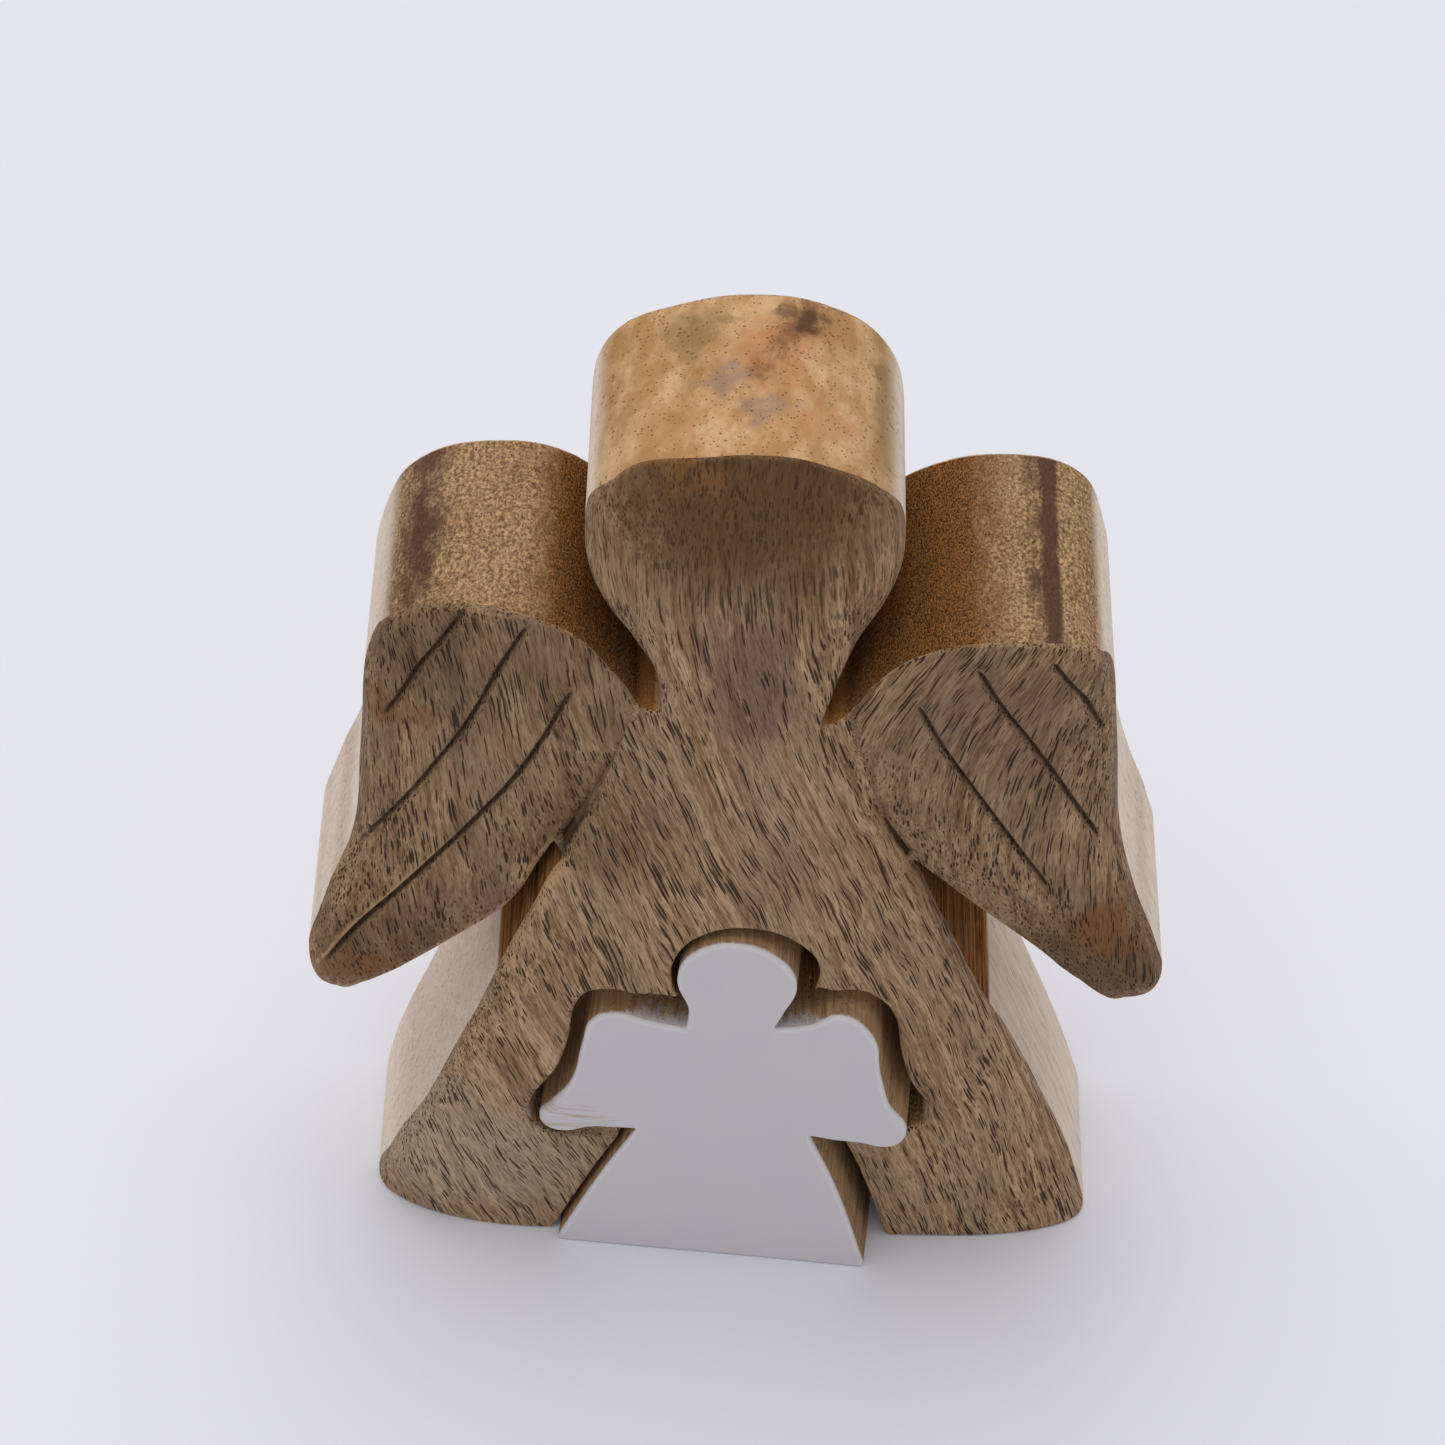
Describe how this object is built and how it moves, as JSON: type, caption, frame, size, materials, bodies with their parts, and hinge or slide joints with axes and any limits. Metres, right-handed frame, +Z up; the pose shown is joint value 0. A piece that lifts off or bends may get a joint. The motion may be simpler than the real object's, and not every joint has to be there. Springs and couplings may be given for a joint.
{
  "type": "nesting wooden angel figurine",
  "caption": "Block-cut wooden angel with carved wings and a crowned front, with a smaller white-painted angel that slides out of a pocket of its own shape in the skirt.",
  "frame": {"origin": "on the surface the figure stands on, under the middle of its bounding box", "axes": "+Z up towards the head, -Y is the carved front, +Y the flat back, +X to the viewer's right"},
  "size_m": [0.109, 0.0339, 0.15],
  "materials": {
    "sanded_wood": "sanded open-pored mango wood, matt, with rough scorched saw cuts beside the head",
    "painted_wood": "matt off-white paint on the front, bare sawn wood on the sides and back"
  },
  "bodies": {
    "large_angel": {"large_angel": "sanded_wood"},
    "small_angel": {"small_angel": "painted_wood"}
  },
  "joints": [
    {"name": "small_angel_slide", "type": "slide", "parent": "large_angel", "child": "small_angel", "axis": [0, -1, 0], "range_m": [-0.0029, 0.03]}
  ]
}
